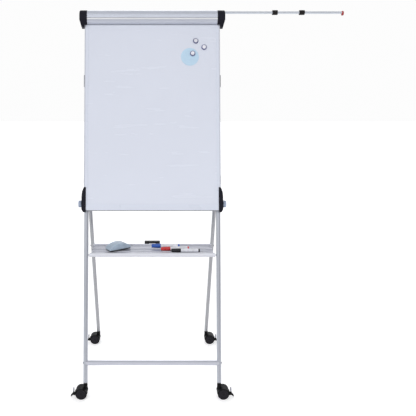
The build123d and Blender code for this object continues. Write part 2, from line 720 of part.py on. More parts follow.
def castor_wheels(plane):
    """Two wheels on one axle, each a dished disc with a tread band."""
    with BuildPart() as wheels:
        for near, far in ((wheel_inner, wheel_outer), (-wheel_outer, -wheel_inner)):
            with BuildSketch(plane.offset(near)):
                with Locations((castor_trail, wheel_radius)):
                    Circle(wheel_radius)
            extrude(amount=far - near)
        fillet(wheels.edges().filter_by(GeomType.CIRCLE), 1.5)
        with BuildSketch(plane.offset(-30)):
            with Locations((castor_trail, wheel_radius)):
                Circle(axle_radius + running)
        extrude(amount=60, mode=Mode.SUBTRACT)
    return wheels


def castor_pedal(plane):
    """Forked brake pedal: one arm to tread down, one to lift."""
    with BuildPart() as pedal:
        with BuildSketch(plane.offset(-8.5)):
            with Locations((pedal_x, pedal_z)):
                Circle(4)
            with BuildLine():
                outline = ((1, 3.8), (4.6, 6), (3.8, 31), (4.6, 33), (8.4, 32.6), (9.6, 6), (12, 2.5),
                           (22, -8.6), (22.2, -11), (19.8, -12.2), (9.5, -3.6), (3, -3.2))
                Polyline(*[(pedal_x + dx, pedal_z + dz) for dx, dz in outline], close=True)
            make_face()
            with Locations((pedal_x, pedal_z)):
                Circle(1.5 + running, mode=Mode.SUBTRACT)
        extrude(amount=17)
    return pedal


for pair in ("front", "rear"):
    for side, sign in sides.items():
        place = castor_plane(sign * castor_x[pair], castor_y[pair], sign)
        corner = f"{pair}_{side}"
        save(castor_hood(place), f"castor_hood_{corner}")
        save(castor_wheels(place), f"castor_wheels_{corner}")
        save(castor_pedal(place), f"castor_pedal_{corner}")

# ---- things kept on the easel ------------------------------------------------------------
magnet_places = ((224, 1833, 0), (267, 1800, 0), (208, 1767, 0.8))   # x, s, height off the sheet


def face_disc(x, s, radius, off, height):
    """A round disc on the writing sheet, in the current part."""
    y, z = front_point(sheet_front - 0.1 - off, s)
    with BuildSketch(Plane(origin=(x, y, z), x_dir=(1, 0, 0), z_dir=(0, -cos_f, sin_f))) as section:
        Circle(radius)
    extrude(section.sketch, amount=height)


with BuildPart() as magnets:
    for x, s, off in magnet_places:
        face_disc(x, s, 14, off, 8)
    fillet(magnets.edges().filter_by(GeomType.CIRCLE).group_by(Axis.Y)[0], 1.5)
save(magnets, "magnets")

with BuildPart() as round_card:
    face_disc(194, 1750, 46, 0, 0.7)
save(round_card, "round_card")

marker_radius, barrel_radius, plug_radius = 10.5, 9.4, 8.2
# x of the cap's end, y from the pivot pin, terrace under it, degrees turned
markers_at = ((-4.0, 91.0, 2, 0), (45.0, 47.5, 1, 7), (99.0, 34.0, 0, 0))
with BuildPart() as markers:
    for x_start, y_off, terrace, turn in markers_at:
        axis_z = tray_pin_yz[1] + terraces[terrace][1] + marker_radius + loose
        base = Plane(origin=(x_start, tray_pin_yz[0] + y_off, axis_z),
                     x_dir=(-sin(radians(turn)), cos(radians(turn)), 0),
                     z_dir=(cos(radians(turn)), sin(radians(turn)), 0))
        for start, radius, length in ((0, marker_radius, 48), (48, barrel_radius, 92),
                                      (140, plug_radius, 8)):
            with BuildSketch(base.offset(start)):
                Circle(radius)
            extrude(amount=length)
save(markers, "markers")

eraser_half, eraser_wide = 63.0, 54.0
eraser_end, eraser_top = 12.0, 36.0        # heights at the ends and in the middle of its arch
eraser_turn = 33.0
eraser_x, eraser_y = -179.0, 68.0          # y from the pivot pin
# it lies across the terraces, from the rear step's edge to the front lip, tilted a little forwards
lip_edge, lip_top = 4.0, 11.5
step_edge, step_top = terraces[2]
eraser_tilt = (step_top - lip_top) / (step_edge - lip_edge)
eraser_z = lip_top + (eraser_y - lip_edge) * eraser_tilt + loose
tray_slope = Vector(0, 1, eraser_tilt).normalized()
eraser_long = Vector(cos(radians(eraser_turn)), 0, 0) + tray_slope * sin(radians(eraser_turn))
eraser_normal = Vector(0, -tray_slope.Z, tray_slope.Y)
with BuildPart() as eraser:
    eraser_origin = Vector(eraser_x, tray_pin_yz[0] + eraser_y, tray_pin_yz[1] + eraser_z)
    arch_plane = Plane(origin=eraser_origin, x_dir=eraser_long, z_dir=eraser_long.cross(eraser_normal))
    with BuildSketch(arch_plane.offset(-eraser_wide / 2)):
        with BuildLine():
            Polyline((-eraser_half, eraser_end), (-eraser_half, 0), (eraser_half, 0),
                     (eraser_half, eraser_end))
            ThreePointArc((eraser_half, eraser_end), (0, eraser_top), (-eraser_half, eraser_end))
        make_face()
    extrude(amount=eraser_wide)
    upright_edges = eraser.edges().filter_by(lambda edge: abs(edge.length - eraser_end) < 0.1)
    fillet(upright_edges, 5)
save(eraser, "eraser")
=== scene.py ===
"""Looks of the flipchart easel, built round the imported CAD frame, in metres."""
import json
from math import atan2, cos, degrees, pi, radians, sin

import bmesh
import bpy
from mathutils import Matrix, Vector


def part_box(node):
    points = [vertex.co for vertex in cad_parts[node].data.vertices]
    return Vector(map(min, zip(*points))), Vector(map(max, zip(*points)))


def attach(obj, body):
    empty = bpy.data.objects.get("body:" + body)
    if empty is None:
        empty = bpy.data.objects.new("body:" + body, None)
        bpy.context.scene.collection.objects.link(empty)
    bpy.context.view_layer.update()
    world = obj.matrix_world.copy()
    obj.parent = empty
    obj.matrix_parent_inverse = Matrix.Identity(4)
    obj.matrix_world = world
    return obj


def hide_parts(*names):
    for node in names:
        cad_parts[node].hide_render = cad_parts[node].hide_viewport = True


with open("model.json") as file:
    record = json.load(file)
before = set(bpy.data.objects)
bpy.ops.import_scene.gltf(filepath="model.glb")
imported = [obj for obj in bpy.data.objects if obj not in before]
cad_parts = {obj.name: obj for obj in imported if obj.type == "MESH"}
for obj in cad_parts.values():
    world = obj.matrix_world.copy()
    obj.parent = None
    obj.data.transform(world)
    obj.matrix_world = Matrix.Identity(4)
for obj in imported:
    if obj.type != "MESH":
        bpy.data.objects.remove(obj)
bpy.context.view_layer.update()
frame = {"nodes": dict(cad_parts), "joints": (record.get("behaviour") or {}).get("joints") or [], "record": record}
nodes = frame["nodes"]
joints = {joint["name"]: joint for joint in frame["joints"]}
sides = {"left": -1, "right": 1}
corners = [(pair, side) for pair in ("front", "rear") for side in sides]
mm = 0.001

# ---- directions: across, back and up, then square to the board and up along the front legs --
ACROSS = Vector((1, 0, 0))
BACK = Vector((0, 1, 0))
UP = Vector((0, 0, 1))
UPLEG = Vector(joints["board_height"]["axis"]).normalized()
REARWARD = Vector((0, UPLEG.z, -UPLEG.y))
LEAN = UPLEG.angle(UP)
REAR_LEAN = radians(18.1)

# ---- places on the board that its materials change at --------------------------------------
FLAP_TOP = max(v.co.dot(UPLEG) for v in nodes["clamp_flap"].data.vertices)
FRAME_LOW = min(v.co.dot(UPLEG) for v in nodes["board_frame"].data.vertices)
FRAME_HALF = max(v.co.x for v in nodes["board_frame"].data.vertices)

# ---- how noise is stretched into a grain along the crossbars, or along a leg -----------------
ALONG_X = (2.5, 700, 700)
ALONG_LEG = (600, 600, 3)


# ---- materials -----------------------------------------------------------------------------
def set_stops(ramp, stops):
    """Gives a colour ramp its stops, (position, colour) from low to high."""
    ramp.elements.remove(ramp.elements[1])
    ramp.elements[0].position = stops[0][0]
    ramp.elements[0].color = (*stops[0][1], 1)
    for position, colour in stops[1:]:
        ramp.elements.new(position).color = (*colour, 1)


class Shader:
    """Builds one procedural material around a Principled shader."""

    def __init__(self, name, metallic=0.0, **sockets):
        self.material = bpy.data.materials.new(name)
        self.material.use_nodes = True
        self.tree = self.material.node_tree
        self.shader = self.tree.nodes["Principled BSDF"]
        self.shader.inputs["Metallic"].default_value = metallic
        for socket, value in sockets.items():
            self.shader.inputs[socket.replace("_", " ")].default_value = value
        self.coords = self.node("ShaderNodeTexCoord").outputs["Object"]
        self.relief = None

    def node(self, kind, **settings):
        made = self.tree.nodes.new(kind)
        for key, value in settings.items():
            setattr(made, key, value)
        return made

    def link(self, source, target):
        self.tree.links.new(source, target)

    def noise(self, scale, stretch=(1, 1, 1), tilt=0.0, detail=3.0, roughness=0.55):
        """Noise in object space, stretched along axes that are tilted about X."""
        turn = self.node("ShaderNodeMapping")
        turn.inputs["Rotation"].default_value = (tilt, 0, 0)
        self.link(self.coords, turn.inputs["Vector"])
        pull = self.node("ShaderNodeMapping")
        pull.inputs["Scale"].default_value = stretch
        self.link(turn.outputs["Vector"], pull.inputs["Vector"])
        made = self.node("ShaderNodeTexNoise")
        made.inputs["Scale"].default_value = scale
        made.inputs["Detail"].default_value = detail
        made.inputs["Roughness"].default_value = roughness
        self.link(pull.outputs["Vector"], made.inputs["Vector"])
        return made.outputs["Fac"]

    def ramp(self, value, *stops):
        """A colour ramp; stops are (position, colour)."""
        made = self.node("ShaderNodeValToRGB")
        set_stops(made.color_ramp, stops)
        self.link(value, made.inputs["Fac"])
        return made.outputs["Color"]

    def span(self, value, low, high, source=(0.3, 0.7)):
        """Maps the value from the source range to low and high, and holds it there beyond."""
        made = self.node("ShaderNodeMapRange")
        made.inputs["From Min"].default_value, made.inputs["From Max"].default_value = source
        made.inputs["To Min"].default_value, made.inputs["To Max"].default_value = low, high
        self.link(value, made.inputs["Value"])
        return made.outputs["Result"]

    def along(self, axis):
        """How far the shaded point lies along an axis, in metres."""
        dot = self.node("ShaderNodeVectorMath", operation="DOT_PRODUCT")
        dot.inputs[1].default_value = axis
        self.link(self.coords, dot.inputs[0])
        return dot.outputs["Value"]

    def mix(self, factor, first, second):
        """Blends two colours; each input is a number, a colour or another node's output."""
        made = self.node("ShaderNodeMix", data_type="RGBA")
        for socket, source in ((0, factor), (6, first), (7, second)):
            if isinstance(source, (int, float)):
                made.inputs[socket].default_value = source
            elif isinstance(source, tuple):
                made.inputs[socket].default_value = (*source, 1)
            else:
                self.link(source, made.inputs[socket])
        return made.outputs[2]

    def bump(self, height, strength, distance):
        """Adds fine relief on top of what the normal already has."""
        made = self.node("ShaderNodeBump")
        made.inputs["Strength"].default_value = strength
        made.inputs["Distance"].default_value = distance
        self.link(height, made.inputs["Height"])
        if self.relief is not None:
            self.link(self.relief, made.inputs["Normal"])
        self.relief = made.outputs["Normal"]
        self.link(self.relief, self.shader.inputs["Normal"])

    def edges(self, radius):
        """1 on sharp edges and 0 elsewhere; the normal is rounded over them too."""
        rounded = self.node("ShaderNodeBevel", samples=4)
        rounded.inputs["Radius"].default_value = radius
        true = self.node("ShaderNodeNewGeometry")
        dot = self.node("ShaderNodeVectorMath", operation="DOT_PRODUCT")
        self.link(rounded.outputs["Normal"], dot.inputs[0])
        self.link(true.outputs["Normal"], dot.inputs[1])
        self.relief = rounded.outputs["Normal"]
        return self.span(dot.outputs["Value"], 1.0, 0.0, (0.72, 0.98))

    def finish(self, colour, roughness):
        self.link(colour, self.shader.inputs["Base Color"])
        self.link(roughness, self.shader.inputs["Roughness"])
        return self.material


def shade(colour, factor):
    """The colour made darker or paler."""
    return tuple(min(1.0, channel * factor) for channel in colour)


def brushed(name, colour, stretch, tilt=0.0, rough=(0.26, 0.40), metallic=0.9, grained=1.0):
    """Anodised aluminium or steel with its grain drawn along one direction, and a painted highlight that makes its
    edges paler.
    """
    s = Shader(name, metallic, Anisotropic=0.3)
    edge = s.edges(0.5 * mm)
    grain = s.noise(1.0, stretch, tilt, detail=4)
    cloud = s.noise(7.0, detail=2)
    tone = s.ramp(grain, (0.25, shade(colour, 1 - 0.12 * grained)), (0.55, colour),
                  (0.8, shade(colour, 1 + 0.07 * grained)))
    tone = s.mix(s.span(cloud, 0.0, 0.35), tone, shade(colour, 0.95))
    # painted highlight: the edges are made paler than the rest
    edge_highlight = s.mix(s.span(edge, 0.0, 0.6, (0, 1)), tone, shade(colour, 1.15))
    s.bump(grain, 0.08 * grained, 0.05 * mm)
    return s.finish(edge_highlight, s.span(grain, *rough))


def beaded(name, colour, bead_highlight):
    """The clamp flap: satin aluminium with a painted highlight along its rolled upper edge."""
    s = Shader(name, 0.45, Anisotropic=0.3)
    grain = s.noise(1.0, ALONG_X, detail=4)
    bead_tall, blend = 9.0 * mm, 1.5 * mm
    # band along the rolled upper edge that takes the painted highlight colour
    highlight_band = s.span(s.along(UPLEG), 0.0, 1.0, (FLAP_TOP - bead_tall - blend, FLAP_TOP - bead_tall))
    tone = s.ramp(grain, (0.3, shade(colour, 0.97)), (0.7, shade(colour, 1.03)))
    tone = s.mix(highlight_band, tone, bead_highlight)
    s.bump(grain, 0.02, 0.05 * mm)
    return s.finish(tone, s.span(grain, 0.28, 0.36))


def terraced(name, tread, riser_lit):
    """Drawn satin aluminium tray: the upright faces are painted paler as lit and the treads darker as shaded, with
    a painted highlight on the edges.
    """
    s = Shader(name, 0.45, Anisotropic=0.3)
    edge = s.edges(0.9 * mm)
    grain = s.noise(1.0, ALONG_X, detail=4)
    facing = s.node("ShaderNodeSeparateXYZ")
    s.link(s.node("ShaderNodeTexCoord").outputs["Normal"], facing.inputs[0])
    # painted light and shade: faces that stand upright take the lit colour, faces that look up the shaded one
    upright = s.span(facing.outputs["Z"], 1.0, 0.0, (0.3, 0.8))
    tone = s.ramp(grain, (0.25, shade(tread, 0.98)), (0.55, tread), (0.8, shade(tread, 1.02)))
    tone = s.mix(upright, tone, riser_lit)
    # painted highlight: the edges are paler still
    tone = s.mix(s.span(edge, 0.0, 0.9, (0, 1)), tone, shade(riser_lit, 1.1))
    s.bump(grain, 0.01, 0.05 * mm)
    return s.finish(tone, s.span(grain, 0.44, 0.50))


def moulded(name, colour, rough=(0.42, 0.6), grain=900.0, relief=0.25, edge_light=2.4, **sockets):
    """Moulded plastic with a fine spark-eroded grain, and a painted highlight that makes its edges slightly paler.
    """
    if max(colour) < 0.06:      # black plastic turns grey under the usual gloss
        sockets.setdefault("Specular_IOR_Level", 0.22)
    s = Shader(name, 0.0, **sockets)
    edge = s.edges(0.8 * mm)
    fine = s.noise(grain, detail=2)
    broad = s.noise(18.0, detail=4)
    scuff = s.noise(60.0, (1, 6, 1), 0.5, detail=5)
    tone = s.ramp(broad, (0.3, shade(colour, 0.8)), (0.7, shade(colour, 1.18)))
    tone = s.mix(s.span(scuff, 0.0, 0.3, (0.56, 0.75)), tone, shade(colour, 1.7))
    lit = s.mix(s.span(edge, 0.0, 0.55, (0, 1)), tone, shade(colour, edge_light))
    s.bump(fine, relief, 0.12 * mm)
    return s.finish(lit, s.span(broad, *rough))


def painted(name, colour, rough=(0.16, 0.3)):
    """Enamelled steel: very slightly uneven gloss, faint wiped streaks, no visible grain."""
    s = Shader(name, 0.0, Coat_Weight=0.35, Coat_Roughness=0.12)
    cloud = s.noise(2.2, detail=3)
    streak = s.noise(3.0, (1.2, 1, 9), LEAN, detail=4)
    peel = s.noise(260.0, detail=1)
    tone = s.ramp(cloud, (0.3, shade(colour, 0.985)), (0.7, shade(colour, 1.01)))
    tone = s.mix(s.span(streak, 0.0, 0.12, (0.5, 0.8)), tone, shade(colour, 0.94))
    s.bump(peel, 0.04, 0.08 * mm)
    return s.finish(tone, s.span(streak, *rough))


def lacquered(name, colour, trim):
    """White lacquered channel whose outermost side edges are left as darker anodised metal, and whose lowest strip
    is darker still.
    """
    s = Shader(name, 0.0, Coat_Weight=0.25, Coat_Roughness=0.2)
    reach = s.node("ShaderNodeMath", operation="ABSOLUTE")
    s.link(s.along(ACROSS), reach.inputs[0])
    trim_wide, trim_low, blend = 4.5 * mm, 2.5 * mm, 2.0 * mm
    flank = s.span(reach.outputs[0], 0.0, 0.55, (FRAME_HALF - trim_wide - blend, FRAME_HALF - trim_wide))
    low = s.span(s.along(UPLEG), 1.0, 0.0, (FRAME_LOW + trim_low, FRAME_LOW + trim_low + blend))
    cloud = s.noise(4.0, detail=3)
    fine = s.noise(300.0, detail=1)
    tone = s.ramp(cloud, (0.3, shade(colour, 0.985)), (0.7, shade(colour, 1.01)))
    tone = s.mix(flank, tone, trim)
    # the lowest strip of the frame is drawn darker still
    tone = s.mix(low, tone, shade(trim, 0.55))
    s.bump(fine, 0.03, 0.05 * mm)
    return s.finish(tone, s.span(cloud, 0.24, 0.34))


def rubbery(name, colour):
    """Matt rubber with fine relief, paler where dust shows, and with a painted highlight that makes its edges
    paler.
    """
    s = Shader(name, 0.0, Specular_IOR_Level=0.25)
    edge = s.edges(0.6 * mm)
    fine = s.noise(1400.0, detail=3)
    dust = s.noise(35.0, detail=5)
    tone = s.mix(s.span(dust, 0.0, 0.5, (0.5, 0.8)), shade(colour, 1.0), shade(colour, 2.2))
    # painted highlight: the edges are made paler
    tone = s.mix(s.span(edge, 0.0, 0.3, (0, 1)), tone, shade(colour, 2.5))
    s.bump(fine, 0.3, 0.15 * mm)
    return s.finish(tone, s.span(dust, 0.62, 0.85))


def felted(name, colour):
    """Pressed felt: short fibres in faint layers."""
    s = Shader(name, 0.0, Sheen_Weight=0.4, Sheen_Roughness=0.5)
    fibre = s.noise(900.0, (1, 1, 3), detail=6, roughness=0.7)
    layer = s.node("ShaderNodeTexWave", wave_type="BANDS", bands_direction="Z")
    layer.inputs["Scale"].default_value = 110.0
    layer.inputs["Distortion"].default_value = 2.0
    s.link(s.coords, layer.inputs["Vector"])
    tone = s.ramp(fibre, (0.3, shade(colour, 0.6)), (0.75, shade(colour, 1.5)))
    tone = s.mix(s.span(layer.outputs["Fac"], 0.0, 0.5, (0, 1)), tone, shade(colour, 0.55))
    s.bump(fibre, 0.8, 0.6 * mm)
    return s.finish(tone, s.span(fibre, 0.85, 1.0))


def honeycomb_board(name, colour):
    """Paper honeycomb between the board's face and its back sheet, with painted shade in its cell hollows."""
    s = Shader(name, 0.0)
    cells = s.node("ShaderNodeTexVoronoi", feature="DISTANCE_TO_EDGE")
    cells.inputs["Scale"].default_value = 120.0
    s.link(s.coords, cells.inputs["Vector"])
    shaded_hollow = s.span(cells.outputs["Distance"], 0.0, 1.0, (0.02, 0.1))
    # painted shade: the paper walls are paler, the hollows between them darker
    tone = s.mix(shaded_hollow, shade(colour, 1.1), shade(colour, 0.6))
    s.bump(shaded_hollow, 0.5, 0.5 * mm)
    return s.finish(tone, s.span(s.noise(50.0), 0.75, 0.9))


looks = {
    "leg_aluminium": brushed("leg_front", (0.66, 0.69, 0.75), ALONG_LEG, LEAN, (0.28, 0.4)),
    # the rear legs are a darker copy of the leg aluminium: painted shade
    "leg_rear_shaded": brushed("leg_rear_shaded", (0.53, 0.54, 0.56), ALONG_LEG, -REAR_LEAN, (0.3, 0.42)),
    "crossbar": brushed("crossbar", (0.78, 0.80, 0.88), ALONG_X, 0.0, (0.28, 0.4)),
    # the tray's first colour is painted shade on its treads, the second painted light on its upright faces
    "tray_aluminium": terraced("tray", (0.47, 0.48, 0.54), (0.86, 0.87, 0.92)),
    # the tray lip is a paler copy of the tray aluminium: painted light on its front face
    "tray_lip": brushed("tray_lip", (0.84, 0.85, 0.91), ALONG_X, 0.0, (0.38, 0.5), 0.4, 0.5),
    "header_aluminium": brushed("header", (0.74, 0.78, 0.87), ALONG_X, 0.0, (0.24, 0.32), 0.65, 0.25),
    # the flap's last colour is the painted highlight on its rolled upper edge
    "flap_aluminium": beaded("flap", (0.66, 0.69, 0.78), (0.97, 0.98, 1.0)),
    "frame_aluminium": lacquered("frame_lacquer", (0.71, 0.75, 0.85), (0.42, 0.43, 0.47)),
    "steel": brushed("zinc_steel", (0.55, 0.56, 0.6), (300, 300, 300), 0.0, (0.3, 0.5)),
    "bracket_plastic": moulded("bracket_black", (0.008, 0.008, 0.015)),
    "board_white": painted("enamel", (0.735, 0.770, 0.865)),
    "board_filling": honeycomb_board("filling", (0.60, 0.48, 0.33)),
    "back_sheet": brushed("back_sheet", (0.50, 0.51, 0.53), (60, 60, 5), LEAN, (0.45, 0.6), 0.35),
    "grip_black": moulded("grip_black", (0.013, 0.012, 0.012)),
    "strip_rubber": rubbery("strip_rubber", (0.03, 0.03, 0.033)),
    "arm_metal": brushed("arm", (0.84, 0.89, 0.96), ALONG_X, 0.0, (0.25, 0.38)),
    "tip_red": moulded("tip_red", (0.50, 0.05, 0.05), (0.25, 0.4), 500.0, 0.1, 1.4, Coat_Weight=0.3),
    "knob_grey": moulded("knob_grey", (0.42, 0.49, 0.63), (0.4, 0.55), 700.0, 0.25, 1.25),
    # the magnet's top is pale plastic standing in for chrome: a painted highlight
    "magnet_chrome": moulded("magnet_top_highlight", (0.80, 0.80, 0.86), (0.1, 0.2), 300.0, 0.03, 1.05,
                             Coat_Weight=0.6),
    "card_blue": painted("card_blue", (0.53, 0.72, 0.88), (0.4, 0.5)),
    "marker_body": moulded("marker_white", (0.78, 0.79, 0.84), (0.2, 0.32), 500.0, 0.05, 1.1,
                           Coat_Weight=0.4),
    "eraser_body": moulded("eraser_shell", (0.40, 0.49, 0.59), (0.38, 0.5), 600.0, 0.2, 1.2),
    "castor_plastic": moulded("castor_black", (0.005, 0.005, 0.006), (0.36, 0.52),
                              Specular_IOR_Level=0.14),
    "wheel_rubber": rubbery("wheel_tread", (0.008, 0.008, 0.009)),
    "wheel_disc": moulded("wheel_disc", (0.014, 0.013, 0.017), (0.35, 0.5)),
    "pedal_grey": moulded("pedal_grey", (0.35, 0.36, 0.42), (0.4, 0.55), 600.0, 0.2, 1.3),
    "felt": felted("felt", (0.035, 0.035, 0.042)),
    "cap_blue": moulded("cap_blue", (0.02, 0.10, 0.46), (0.22, 0.35), 500.0, 0.06, 1.4, Coat_Weight=0.4),
    "cap_red": moulded("cap_red", (0.62, 0.03, 0.035), (0.22, 0.35), 500.0, 0.06, 1.4, Coat_Weight=0.4),
    "cap_black": moulded("cap_black", (0.02, 0.02, 0.024), (0.22, 0.35), 500.0, 0.06, 2.0, Coat_Weight=0.4),
    "magnet_ring": moulded("magnet_ring", (0.15, 0.16, 0.29), (0.3, 0.45), 500.0, 0.08, 1.3),
}

slots = {part["node"]: part["material_slot"] for part in frame["record"]["subparts"]}
own_look = {                    # nodes that look different from the rest of their slot
    # painted light: the tray lip takes a paler copy of the tray aluminium
    "front_crossbar": "crossbar", "rear_crossbar": "crossbar", "tray_lip": "tray_lip",
    "clamp_flap": "flap_aluminium",
    # painted shade: the rear legs take the darker copy of the leg aluminium
    "rear_leg_left": "leg_rear_shaded", "rear_leg_right": "leg_rear_shaded",
}


for name, obj in nodes.items():
    obj.data.materials.clear()
    obj.data.materials.append(looks[own_look.get(name, slots[name])])


# ---- mesh helpers --------------------------------------------------------------------------
def piece(name, bm, body, names, stands_for=(), smooth=35, bevel=None):
    """Turns a bmesh into a piece that rides on a body and stands for CAD nodes."""
    bmesh.ops.remove_doubles(bm, verts=bm.verts, dist=1e-6)
    bmesh.ops.recalc_face_normals(bm, faces=bm.faces)
    mesh = bpy.data.meshes.new(name)
    bm.to_mesh(mesh)
    bm.free()
    for polygon in mesh.polygons:
        polygon.use_smooth = True
    obj = bpy.data.objects.new(name, mesh)
    bpy.context.scene.collection.objects.link(obj)
    for look in names:
        mesh.materials.append(looks[look])
    mesh.set_sharp_from_angle(angle=radians(smooth))
    if bevel:
        mod = obj.modifiers.new("bevel", "BEVEL")
        mod.width = bevel * mm
        mod.segments = 3
        mod.limit_method = "ANGLE"
        mod.angle_limit = radians(40)
        mod.harden_normals = True
    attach(obj, body)
    if stands_for:
        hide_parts(*stands_for)


def add_prism(bm, outline, origin, u, v, w, start, end, look=0):
    """Closed outline in (u, v) millimetres, drawn out along w from start to end."""
    rings = []
    for along in (start, end):
        rings.append([bm.verts.new(origin + (u * a + v * b + w * along) * mm) for a, b in outline])
    count = len(outline)
    faces = [bm.faces.new(rings[0]), bm.faces.new(list(reversed(rings[1])))]
    for i in range(count):
        j = (i + 1) % count
        faces.append(bm.faces.new((rings[0][i], rings[1][i], rings[1][j], rings[0][j])))
    for face in faces:
        face.material_index = look


def add_lathe(bm, profile, origin, axis, segments=48, looks_at=None, flute=None):
    """Turns (radius, height) millimetres about axis; a profile that ends at radius 0 is closed."""
    axis = axis.normalized()
    side = axis.orthogonal().normalized()
    other = axis.cross(side)
    rings = []
    for index, (radius, height) in enumerate(profile):
        centre = origin + axis * (height * mm)
        if radius < 1e-6:
            rings.append([bm.verts.new(centre)])
            continue
        ring = []
        for k in range(segments):
            turn = 2 * pi * k / segments
            r = radius * (flute(index, turn) if flute else 1.0)
            ring.append(bm.verts.new(centre + (side * cos(turn) + other * sin(turn)) * (r * mm)))
        rings.append(ring)
    for index in range(len(rings) - 1):
        low, high = rings[index], rings[index + 1]
        for k in range(segments):
            m = (k + 1) % segments
            around = [low[k % len(low)], low[m % len(low)], high[m % len(high)], high[k % len(high)]]
            unique = list(dict.fromkeys(around))    # a ring of one point gives a triangle
            if len(unique) > 2:
                face = bm.faces.new(unique)
                face.material_index = looks_at[index] if looks_at else 0


def add_loft(bm, rings, look=0):
    """Closed rings of points joined one after the other, with both ends closed."""
    made = [[bm.verts.new(p) for p in ring] for ring in rings]
    faces = [bm.faces.new(list(reversed(made[0]))), bm.faces.new(made[-1])]
    for first, second in zip(made, made[1:]):
        for i in range(len(first)):
            j = (i + 1) % len(first)
            faces.append(bm.faces.new((first[i], first[j], second[j], second[i])))
    for face in faces:
        face.material_index = look


def arc(cx, cy, radius, start, end, steps):
    """Points on an arc, in degrees."""
    return [(cx + radius * cos(radians(start + (end - start) * k / steps)),
             cy + radius * sin(radians(start + (end - start) * k / steps))) for k in range(steps + 1)]


def rounded(points, radius, steps=4):
    """The outline with each corner rounded."""
    result = []
    count = len(points)
    for i in range(count):
        before, here, after = (Vector(points[(i + k) % count]) for k in (-1, 0, 1))
        into, out = (before - here), (after - here)
        reach = min(radius, into.length * 0.45, out.length * 0.45)
        a, b = here + into.normalized() * reach, here + out.normalized() * reach
        for k in range(steps + 1):
            t = k / steps
            point = a * (1 - t) ** 2 + here * (2 * t * (1 - t)) + b * t ** 2
            result.append((point.x, point.y))
    return result


# ---- castors -------------------------------------------------------------------------------
TRAIL = 21.0                    # from the swivel to the wheels' axle
HUB_HEIGHT = 29.0
NECK_TOP = 77.0
NECK_SEAT = 30.4                # distance from the axle at which the neck meets the fender
PEDAL_PIVOT = (54.5, 20)        # out from the swivel and up from the floor
WHEEL_PROFILE = [(3.1, 7.0), (8, 7.0), (8.8, 8.4), (21.5, 9.2), (22.6, 7.4), (27.5, 7.0), (28.5, 7.5),
                 (29.0, 8.6), (29.0, 15.8), (28.5, 16.2), (28.5, 17.0), (29.0, 17.4), (29.0, 24.0),
                 (28.6, 25.1), (27.6, 25.7), (24.6, 25.8), (23.8, 25.2), (23.3, 24.3), (12, 22.8),
                 (10.6, 23.0), (10.0, 24.9), (9.0, 25.6), (4.4, 25.6), (3.1, 24.9), (3.1, 7.0)]
TREAD = range(4, 15)            # the stretches of that profile that are rubber
FENDER_OUTSIDE = [(26.0, 27.0), (30.3, 27.0), (30.9, 26.5), (31.0, 25.7), (31.0, 17.2), (30.6, 16.8),
                  (30.6, 16.0), (31.0, 15.6), (31.0, 8.4), (30.6, 8.0), (30.6, 7.2), (31.0, 6.8)]
FENDER_INSIDE = [(29.7, 25.5), (29.4, 26.1), (26.0, 26.1)]


def build_wheels(corner, hub, out, axle):
    """Both wheels of a castor, each with the spokes of its disc."""
    bm = bmesh.new()
    band = [int(stretch in TREAD) for stretch in range(len(WHEEL_PROFILE) - 1)]
    spokes = 5
    for way in (1, -1):
        add_lathe(bm, WHEEL_PROFILE, hub, axle * way, 56, band)
        for k in range(spokes):
            turn = 2 * pi * k / spokes
            along = out * cos(turn) + UP * sin(turn)
            across = along.cross(axle)
            add_prism(bm, [(9.4, -1.4), (23, -0.9), (23, 0.9), (9.4, 1.4)], hub, along, across, axle * way,
                      22.0, 24.0)
    piece(f"wheels_{corner}", bm, f"wheels_{corner}", ("wheel_disc", "wheel_rubber"),
          (f"castor_wheels_{corner}",))


def add_fender(bm, hub, out, axle):
    """The grooved fender over both wheels, with a lip down each side."""
    section = FENDER_OUTSIDE + [(r, -w) for r, w in reversed(FENDER_OUTSIDE)]
    section += [(r, -w) for r, w in reversed(FENDER_INSIDE)] + FENDER_INSIDE
    steps, first_angle, sweep = 40, 4, 172
    rings = []
    for k in range(steps + 1):
        turn = radians(first_angle + sweep * k / steps)
        ray = out * cos(turn) + UP * sin(turn)
        rings.append([hub + (ray * r + axle * w) * mm for r, w in section])
    add_loft(bm, rings)


def add_neck(bm, ground, out, axle):
    """Neck and stem, a stepped column whose foot follows the fender's curve."""
    segments = 48
    rings = []
    for radius, height in ((10.5, 48.0), (10.5, 64.0), (9.9, 64.6), (9.9, 66.2), (10.5, 66.8),
                           (10.5, NECK_TOP - 1.0), (9.6, NECK_TOP), (4.0, NECK_TOP), (4.0, 98.0),
                           (3.4, 98.5)):
        ring = []
        for k in range(segments):
            turn = 2 * pi * k / segments
            reach = radius * cos(turn)
            over = NECK_SEAT ** 2 - (reach - TRAIL) ** 2
            rest = HUB_HEIGHT + over ** 0.5 if over > 0 else 0.0
            ring.append(ground + (out * reach + axle * (radius * sin(turn)) + UP * max(height, rest)) * mm)
        rings.append(ring)
    add_loft(bm, rings)


def build_hood(corner, ground, hub, pivot, out, axle):
    """Fender, centre web, axle, neck with stem, and the ears and pin that hold the pedal."""
    bm = bmesh.new()
    add_fender(bm, hub, out, axle)
    add_prism(bm, arc(0, 0, 30.2, -19, 199, 34), hub, out, UP, axle, -6, 6)
    add_lathe(bm, [(0, -24.8), (2.4, -24.8), (2.98, -24.2), (2.98, 24.2), (2.4, 24.8), (0, 24.8)],
              hub, axle, 24)
    add_neck(bm, ground, out, axle)
    for ear in (-12, 9):
        add_prism(bm, [(49.8, 39), (53.5, 36.6), (58.3, 22), (57.5, 16.5), (52.8, 16.5), (51.9, 24)],
                  ground, out, UP, axle, ear, ear + 3)
    add_lathe(bm, [(0, -12.2), (1.5, -12.2), (1.5, 12.2), (0, 12.2)], pivot, axle, 16)
    piece(f"hood_{corner}", bm, f"castor_{corner}", ("castor_plastic",),
          (f"castor_hood_{corner}",), bevel=0.3)


